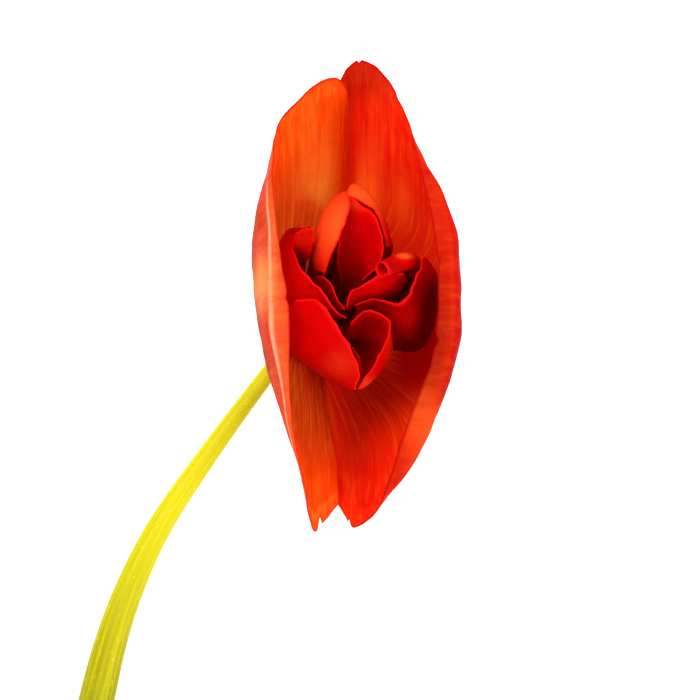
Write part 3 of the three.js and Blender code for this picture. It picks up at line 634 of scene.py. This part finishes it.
def petal_material(name, tints, streak_strength=0.35, translucent=0.3):
    """Fleshy petal skin: dark at the seat, lighter at the margin, streaked along its length.

    tints names the colours: deep, body, streak, glow, shade and margin for the face, and back_low, back,
    crest_highlight, rim and back_glow for the back. The crest_highlight is a painted highlight along the
    fold where a guard petal turns inwards, and the rim is what lies beyond it.
    """
    n = Nodes(name)
    form = n.add("ShaderNodeAttribute", attribute_name="form")
    split = n.add("ShaderNodeSeparateColor")
    n.join(form.outputs["Color"], split.inputs[0])
    u, v, side = split.outputs[0], split.outputs[1], split.outputs[2]
    light = n.add("ShaderNodeAttribute", attribute_name="glow").outputs["Fac"]
    place = n.add("ShaderNodeTexCoord").outputs["Object"]
    streaks = n.noise(n.combine(n.maths("MULTIPLY", u, 60.0), n.maths("MULTIPLY", v, 2.0)), 1.0, 4.0, 0.6)
    veins = n.noise(n.combine(n.maths("MULTIPLY", u, 150.0), n.maths("MULTIPLY", v, 5.0)), 1.0, 2.0)
    blotch = n.noise(place, 160.0, 4.0)
    cells = n.noise(place, 2600.0, 2.0)

    face = n.blend(n.rise(v, 0.3, 0.7), tints["deep"], tints["body"])
    face = n.blend(n.rise(light, 0.5, 1.0), face, tints["glow"])
    back = n.blend(n.rise(v, 0.35, 0.6), tints["back_low"], tints["back"])
    # Painted highlight: a pale line along the fold where a guard petal turns inwards.
    crest_highlight = n.maths("MULTIPLY", n.rise(u, 0.3, 0.42), n.rise(v, 0.8, 0.825))
    back = n.blend(crest_highlight, back, tints["crest_highlight"])
    back = n.blend(n.rise(v, 0.835, 0.87), back, tints["rim"])
    back = n.blend(n.rise(light, 0.5, 1.0), back, tints["back_glow"])
    colour = n.blend(n.rise(side, 0.7, 0.3), face, back)
    streak = n.blend(0.4, colour, tints["streak"])
    colour = n.blend(n.maths("MULTIPLY", n.rise(streaks, 0.5, 0.75), streak_strength), colour, streak)
    colour = n.blend(n.maths("MULTIPLY", n.rise(streaks, 0.5, 0.3), streak_strength), colour, tints["deep"])
    colour = n.blend(n.maths("MULTIPLY", n.rise(veins, 0.52, 0.7), streak_strength), colour, streak)
    colour = n.blend(n.maths("MULTIPLY", n.rise(blotch, 0.5, 0.75), 0.25), colour, tints["deep"])
    colour = n.blend(n.rise(light, 0.5, 0.0), colour, tints["shade"])
    # The band along the very margin: on the inner petals a painted highlight where light shines through the
    # thin edge, on the guard petals a darker crimson edge.
    colour = n.blend(n.maths("MULTIPLY", n.rise(v, 0.97, 0.995), 0.8), colour, tints["margin"])

    skin = n.add("ShaderNodeBsdfPrincipled")
    n.join(colour, skin.inputs["Base Color"])
    skin.inputs["IOR"].default_value = 1.38
    skin.inputs["Specular IOR Level"].default_value = 0.06
    n.join(n.rise(streaks, 0.3, 0.7, 0.42, 0.58), skin.inputs["Roughness"])
    half_tint = n.add("ShaderNodeGamma")
    n.join(colour, half_tint.inputs["Color"])
    half_tint.inputs["Gamma"].default_value = 0.5
    through = n.add("ShaderNodeBsdfTranslucent")
    n.join(half_tint.outputs[0], through.inputs["Color"])
    height = n.maths("ADD", n.maths("MULTIPLY", streaks, 0.7), n.maths("MULTIPLY", cells, 0.25))
    dent = n.add("ShaderNodeBump")
    dent.inputs["Strength"].default_value = 0.35
    dent.inputs["Distance"].default_value = 0.25 * MM
    n.join(height, dent.inputs["Height"])
    n.join(dent.outputs[0], skin.inputs["Normal"])
    n.join(dent.outputs[0], through.inputs["Normal"])
    mix = n.add("ShaderNodeMixShader")
    mix.inputs[0].default_value = translucent
    n.join(skin.outputs[0], mix.inputs[1])
    n.join(through.outputs[0], mix.inputs[2])
    out = n.add("ShaderNodeOutputMaterial")
    n.join(mix.outputs[0], out.inputs[0])
    return n.material


def stem_material(settings):
    """Smooth fleshy green stalk with faint lengthwise ridges and pale specks."""
    n = Nodes("stem flesh")
    form = n.add("ShaderNodeAttribute", attribute_name="form")
    split = n.add("ShaderNodeSeparateColor")
    n.join(form.outputs["Color"], split.inputs[0])
    u, v, cut = split.outputs[0], split.outputs[1], split.outputs[2]
    place = n.add("ShaderNodeTexCoord").outputs["Object"]
    ridges = n.noise(n.combine(n.maths("MULTIPLY", u, 26.0), n.maths("MULTIPLY", v, 5.0)), 1.0, 4.0)
    specks = n.noise(place, 1500.0, 2.0)
    blotch = n.noise(place, 90.0, 3.0)
    colour = n.blend(n.rise(v, 0.08, 0.6), tuple(settings.stem_low), tuple(settings.stem_high))
    colour = n.blend(n.maths("MULTIPLY", n.rise(ridges, 0.42, 0.66), 0.3), colour, linear(222, 212, 20))
    colour = n.blend(n.maths("MULTIPLY", n.rise(blotch, 0.42, 0.7), 0.3), colour, linear(160, 158, 10))
    colour = n.blend(n.maths("MULTIPLY", n.rise(specks, 0.62, 0.72), 0.25), colour, linear(236, 230, 30))
    colour = n.blend(n.maths("MULTIPLY", cut, 0.75), colour, linear(222, 226, 150))
    skin = n.add("ShaderNodeBsdfPrincipled")
    n.join(colour, skin.inputs["Base Color"])
    n.join(n.rise(ridges, 0.3, 0.7, 0.3, 0.46), skin.inputs["Roughness"])
    skin.inputs["Specular IOR Level"].default_value = 0.06
    skin.inputs["Subsurface Weight"].default_value = 0.25
    skin.inputs["Subsurface Radius"].default_value = (0.9, 0.9, 0.25)
    skin.inputs["Subsurface Scale"].default_value = 1.2 * MM
    dent = n.add("ShaderNodeBump")
    dent.inputs["Strength"].default_value = 0.3
    dent.inputs["Distance"].default_value = 0.2 * MM
    n.join(ridges, dent.inputs["Height"])
    n.join(dent.outputs[0], skin.inputs["Normal"])
    out = n.add("ShaderNodeOutputMaterial")
    n.join(skin.outputs[0], out.inputs[0])
    return n.material


def stem_mesh():
    """The stalk: round, a little ridged, with a clean cut end."""
    sides, steps = STEM_STEPS
    lying = [Vector((x, y, r)) for (x, y), r in zip(STEM_LINE, STEM_RADII)]
    line = lying + [Vector(p) for p in STEM_TOP]
    radii = STEM_RADII + STEM_TOP_RADII
    points, forms, faces = [], [], []
    for j in range(steps + 1):
        v = j / steps
        centre = smooth_line(line, v)
        ahead = (smooth_line(line, v + 0.004) - smooth_line(line, v - 0.004)).normalized()
        side = Vector((0, 0, 1)).cross(ahead).normalized()
        up = ahead.cross(side)
        radius = smooth_number(radii, v)
        for i in range(sides):
            turn = 2 * math.pi * i / sides
            ridge = 0.02 * math.cos(5 * turn + 3 * v) + 0.012 * noise.noise(Vector((i * 0.4, v * 9, 1)))
            r = radius * (1 + ridge) - 0.03 * radius
            points.append(centre + side * (r * math.sin(turn)) + up * (r * math.cos(turn)))
            forms.append((i / sides, v, 0.0))
    for j in range(steps):
        for i in range(sides):
            a = j * sides + i
            b = j * sides + (i + 1) % sides
            faces.append((a, a + sides, b + sides, b))
    for first, outward in ((0, 1), (steps * sides, -1)):
        ring = list(range(first, first + sides))
        centre = sum((points[k] for k in ring), Vector()) / sides
        for share in (0.93, 0.6, 0.3):
            start = len(points)
            for k in ring:
                points.append(centre.lerp(points[first + (k - ring[0])], share))
                forms.append((0.0, 0.0, 1.0))
            inner = list(range(start, start + sides))
            for i in range(sides):
                a, b = ring[i], ring[(i + 1) % sides]
                c, d = inner[(i + 1) % sides], inner[i]
                faces.append((a, b, c, d) if outward > 0 else (d, c, b, a))
            ring = inner
        points.append(centre)
        forms.append((0.0, 0.0, 1.0))
        tip = len(points) - 1
        for i in range(sides):
            a, b = ring[i], ring[(i + 1) % sides]
            faces.append((a, b, tip) if outward > 0 else (b, a, tip))
    mesh = bpy.data.meshes.new("stem")
    mesh.from_pydata([p * MM + SHIFT for p in points], [], faces)
    form = mesh.attributes.new("form", "FLOAT_COLOR", "POINT")
    for n, (u, v, cut) in enumerate(forms):
        form.data[n].color = (u, v, cut, 1.0)
    uv = mesh.uv_layers.new(name="Stem")
    for loop in mesh.loops:
        uv.data[loop.index].uv = forms[loop.vertex_index][:2]
    mesh.shade_smooth()
    return mesh


def receptacle_mesh():
    """The flattened knob that the petals stand on, a little lobed."""
    sides, steps = RECEPTACLE_STEPS
    points, forms, faces = [], [], []
    for j in range(steps + 1):
        angle = -math.pi / 2 + math.pi * j / steps
        for i in range(sides):
            turn = 2 * math.pi * i / sides
            r = RECEPTACLE_RADIUS * 0.97 * math.cos(angle) * (1 + 0.02 * math.cos(6 * turn)) + 0.02
            z = RECEPTACLE_CENTRE[2] + RECEPTACLE_HEIGHT * 0.97 * math.sin(angle)
            x = RECEPTACLE_CENTRE[0] + r * math.cos(turn)
            points.append(Vector((x, RECEPTACLE_CENTRE[1] + r * math.sin(turn), z)))
            forms.append((i / sides, 0.9, 0.0))
    for j in range(steps):
        for i in range(sides):
            a = j * sides + i
            b = j * sides + (i + 1) % sides
            faces.append((a, b, b + sides, a + sides))
    faces.append(tuple(range(sides - 1, -1, -1)))
    faces.append(tuple(range(steps * sides, (steps + 1) * sides)))
    mesh = bpy.data.meshes.new("receptacle")
    mesh.from_pydata([p * MM + SHIFT for p in points], [], faces)
    form = mesh.attributes.new("form", "FLOAT_COLOR", "POINT")
    for n, (u, v, cut) in enumerate(forms):
        form.data[n].color = (u, v, cut, 1.0)
    mesh.shade_smooth()
    return mesh


class PetalSettings(bpy.types.PropertyGroup):
    """Colours of the petals."""

    guard_body: bpy.props.FloatVectorProperty(
        name="Guard petal", description="Colour of a guard petal's face", subtype="COLOR",
        size=3, min=0, max=1, default=linear(246, 66, 3),
    )
    guard_deep: bpy.props.FloatVectorProperty(
        name="Guard petal, deep", description="Colour of a guard petal near its seat", subtype="COLOR",
        size=3, min=0, max=1, default=linear(216, 26, 1),
    )
    guard_glow: bpy.props.FloatVectorProperty(
        name="Guard petal, glowing", description="Colour where light soaks through a guard petal",
        subtype="COLOR", size=3, min=0, max=1, default=linear(255, 128, 28),
    )
    inner_glow: bpy.props.FloatVectorProperty(
        name="Inner petal, glowing", description="Colour where light soaks through an inner petal",
        subtype="COLOR", size=3, min=0, max=1, default=linear(255, 96, 34),
    )
    inner_body: bpy.props.FloatVectorProperty(
        name="Inner petal", description="Colour of an inner petal's face", subtype="COLOR",
        size=3, min=0, max=1, default=linear(220, 0, 2),
    )
    inner_deep: bpy.props.FloatVectorProperty(
        name="Inner petal, deep", description="Colour of an inner petal near its seat", subtype="COLOR",
        size=3, min=0, max=1, default=linear(176, 0, 1),
    )
    fineness: bpy.props.IntProperty(
        name="Fineness", description="Grid steps across an inner petal", default=64, min=16, max=128
    )


class StemSettings(bpy.types.PropertyGroup):
    """Colours of the stem."""

    stem_low: bpy.props.FloatVectorProperty(
        name="Low stem", description="Colour towards the cut end", subtype="COLOR",
        size=3, min=0, max=1, default=linear(98, 92, 2),
    )
    stem_high: bpy.props.FloatVectorProperty(
        name="High stem", description="Colour at the flower", subtype="COLOR",
        size=3, min=0, max=1, default=linear(188, 180, 8),
    )


class StageSettings(bpy.types.PropertyGroup):
    """Sizes of the camera's and the lights' set-up."""

    focal_length: bpy.props.FloatProperty(
        name="Focal length", description="The camera's lens, in millimetres", default=200.0, min=20.0
    )
    frame_width: bpy.props.FloatProperty(
        name="Frame width", description="Width that the picture covers at the petals' margins",
        default=101.5 * MM, min=0.01, unit="LENGTH",
    )
    key_power: bpy.props.FloatProperty(
        name="Key light", description="Power of the large overhead light", default=2.0, min=0.0
    )


class PIECE_OT_guards(bpy.types.Operator):
    """Builds the two broad guard petals"""

    bl_idname = "begonia.guards"
    bl_label = "Guard petals"

    def execute(self, context):
        settings = context.scene.begonia_petals
        face = {
            "deep": tuple(settings.guard_deep),
            "body": tuple(settings.guard_body),
            "streak": linear(255, 176, 30),
            "glow": tuple(settings.guard_glow),
            "shade": linear(96, 0, 0),
            "margin": linear(186, 4, 8),
        }
        own = {
            "left_guard_petal": {
                "back_low": linear(180, 110, 50),
                "back": linear(200, 66, 24),
                # The crest colour is a painted highlight along the fold.
                "crest_highlight": linear(255, 206, 166),
                "rim": linear(244, 96, 48),
                "back_glow": linear(244, 180, 104),
            },
            "right_guard_petal": {
                "deep": linear(190, 4, 1),
                "body": linear(230, 32, 3),
                "streak": linear(250, 110, 16),
                "glow": linear(255, 100, 18),
                "back_low": linear(200, 60, 20),
                "back": linear(180, 6, 10),
                "crest_highlight": linear(196, 18, 12),
                "rim": linear(210, 44, 14),
                "back_glow": linear(255, 100, 36),
            },
        }
        for seed, (name, shape) in enumerate(GUARDS.items()):
            # Each guard petal's material is its own colour with painted light laid in: glow spots, shade
            # spots and the crest highlight.
            material = petal_material(name + "_finish", {**face, **own[name]}, 0.5, 0.65)
            mesh = petal_mesh(name, petal_grid(shape, *GUARD_STEPS), shape, seed * GUARD_SEED_STEP)
            add_piece(mesh, material, name)
        return {"FINISHED"}


class PIECE_OT_inner(bpy.types.Operator):
    """Builds the folded petals of the heart"""

    bl_idname = "begonia.inner"
    bl_label = "Inner petals"

    def execute(self, context):
        settings = context.scene.begonia_petals
        face = {
            "deep": tuple(settings.inner_deep),
            "body": tuple(settings.inner_body),
            "streak": linear(232, 14, 8),
            "glow": tuple(settings.inner_glow),
            "shade": linear(96, 0, 0),
            # The inner margin colour is a painted highlight, light shining through the thin edge.
            "margin": linear(240, 14, 12),
            "back_low": linear(150, 0, 0),
            "back": linear(200, 0, 2),
            "crest_highlight": linear(200, 0, 2),
            "rim": linear(206, 0, 2),
            "back_glow": tuple(settings.inner_glow),
        }
        # Painted shade: the heart petals deep in the hole at the flower's middle are coloured near black-red
        # for the shade that falls there.
        heart_shade_tints = {
            "deep": linear(30, 0, 0),
            "body": linear(70, 0, 0),
            "streak": linear(90, 0, 0),
            "glow": linear(110, 2, 1),
            "shade": linear(24, 0, 0),
            "margin": linear(110, 2, 1),
            "back_low": linear(30, 0, 0),
            "back": linear(70, 0, 0),
            "crest_highlight": linear(70, 0, 0),
            "rim": linear(70, 0, 0),
            "back_glow": linear(110, 2, 1),
        }
        # The inner petals' material is their own red with painted glow, painted shade and a painted highlight
        # along the margins.
        material = petal_material("inner_petal_finish", face, 0.12, 0.3)
        dark = petal_material("heart_petal_finish", heart_shade_tints, 0.15, 0.2)
        steps = settings.fineness
        for seed, (name, shape) in enumerate(INNER.items()):
            heart = name.startswith("heart")
            rows = petal_grid(shape, steps, steps)
            mesh = petal_mesh(name, rows, shape, INNER_SEED + seed * INNER_SEED_STEP)
            add_piece(mesh, dark if heart else material, name)
        rows = scroll_grid(SCROLL, SCROLL_STEPS, steps)
        mesh = petal_mesh("right_scroll_petal", rows, SCROLL, SCROLL_SEED)
        add_piece(mesh, material, "right_scroll_petal")
        return {"FINISHED"}


class PIECE_OT_stem(bpy.types.Operator):
    """Builds the stem and the receptacle"""

    bl_idname = "begonia.stem"
    bl_label = "Stem and receptacle"

    def execute(self, context):
        material = stem_material(context.scene.begonia_stem)
        add_piece(stem_mesh(), material, "stem")
        add_piece(receptacle_mesh(), material, "receptacle")
        return {"FINISHED"}


def area_light(name, place, aim, size, power, colour=(1.0, 1.0, 1.0)):
    light = bpy.data.lights.new(name, "AREA")
    light.shape = "DISK"
    light.size = size
    light.energy = power
    light.color = colour
    lamp = bpy.data.objects.new(name, light)
    lamp.location = place
    lamp.rotation_euler = (Vector(aim) - Vector(place)).to_track_quat("-Z", "Y").to_euler()
    bpy.context.scene.collection.objects.link(lamp)
    return lamp


class PIECE_OT_stage(bpy.types.Operator):
    """Sets out the floor, the lights and the camera"""

    bl_idname = "begonia.stage"
    bl_label = "Stage"

    def execute(self, context):
        settings = context.scene.begonia_stage
        scene = context.scene
        mesh = bpy.data.meshes.new("floor")
        half = FLOOR_HALF
        corners = [(-half, -half, 0), (half, -half, 0), (half, half, 0), (-half, half, 0)]
        mesh.from_pydata(corners, [], [(0, 1, 2, 3)])
        floor = bpy.data.objects.new("floor", mesh)
        scene.collection.objects.link(floor)
        n = Nodes("pale table")
        grain = n.noise(n.add("ShaderNodeTexCoord").outputs["Object"], 30.0, 4.0)
        skin = n.add("ShaderNodeBsdfPrincipled")
        n.join(n.blend(grain, (0.86, 0.86, 0.86), (0.9, 0.9, 0.9)), skin.inputs["Base Color"])
        skin.inputs["Roughness"].default_value = 0.7
        skin.inputs["Specular IOR Level"].default_value = 0.1
        skin.inputs["Emission Color"].default_value = (1, 1, 1, 1)
        skin.inputs["Emission Strength"].default_value = 0.55
        out = n.add("ShaderNodeOutputMaterial")
        n.join(skin.outputs[0], out.inputs[0])
        mesh.materials.append(n.material)

        world = bpy.data.worlds.new("soft room")
        world.use_nodes = True
        background = world.node_tree.nodes["Background"]
        background.inputs["Color"].default_value = (1, 1, 1, 1)
        background.inputs["Strength"].default_value = 0.95
        scene.world = world
        scene.view_settings.view_transform = "Standard"
        scene.view_settings.look = "None"

        area_light("overhead", (-0.25, 0.3, 0.9), (0, 0, 0.02), 0.5, settings.key_power * 4)
        area_light("side fill", (0.7, -0.2, 0.5), (0, 0, 0.02), 0.5, settings.key_power * 2)

        camera = bpy.data.cameras.new("camera")
        camera.lens = settings.focal_length
        camera.sensor_width = SENSOR_WIDTH
        camera.clip_start = 0.01
        distance = settings.frame_width * settings.focal_length / camera.sensor_width
        eye = bpy.data.objects.new("camera", camera)
        eye.location = SHIFT + Vector(EYE_OVER) * MM + Vector((0, 0, distance))
        scene.collection.objects.link(eye)
        scene.camera = eye
        return {"FINISHED"}


class PIECE_PT_panel(bpy.types.Panel):
    """Lists the begonia's pieces"""

    bl_label = "Begonia"
    bl_idname = "PIECE_PT_panel"
    bl_space_type = "VIEW_3D"
    bl_region_type = "UI"
    bl_category = "Begonia"

    def draw(self, context):
        for operator in OPERATORS:
            self.layout.operator(operator.bl_idname)
        scene = context.scene
        for settings in (scene.begonia_petals, scene.begonia_stem, scene.begonia_stage):
            for key in settings.__annotations__:
                self.layout.prop(settings, key)


SETTINGS = {"begonia_petals": PetalSettings, "begonia_stem": StemSettings, "begonia_stage": StageSettings}
OPERATORS = (PIECE_OT_guards, PIECE_OT_inner, PIECE_OT_stem, PIECE_OT_stage)


def register():
    for group in SETTINGS.values():
        bpy.utils.register_class(group)
    for name, group in SETTINGS.items():
        setattr(bpy.types.Scene, name, bpy.props.PointerProperty(type=group))
    for operator in OPERATORS:
        bpy.utils.register_class(operator)
    bpy.utils.register_class(PIECE_PT_panel)


def unregister():
    bpy.utils.unregister_class(PIECE_PT_panel)
    for operator in reversed(OPERATORS):
        bpy.utils.unregister_class(operator)
    for name, group in SETTINGS.items():
        delattr(bpy.types.Scene, name)
        bpy.utils.unregister_class(group)


def main():
    register()
    bpy.ops.begonia.guards()
    bpy.ops.begonia.inner()
    bpy.ops.begonia.stem()
    bpy.ops.begonia.stage()


if __name__ == "__main__":
    main()
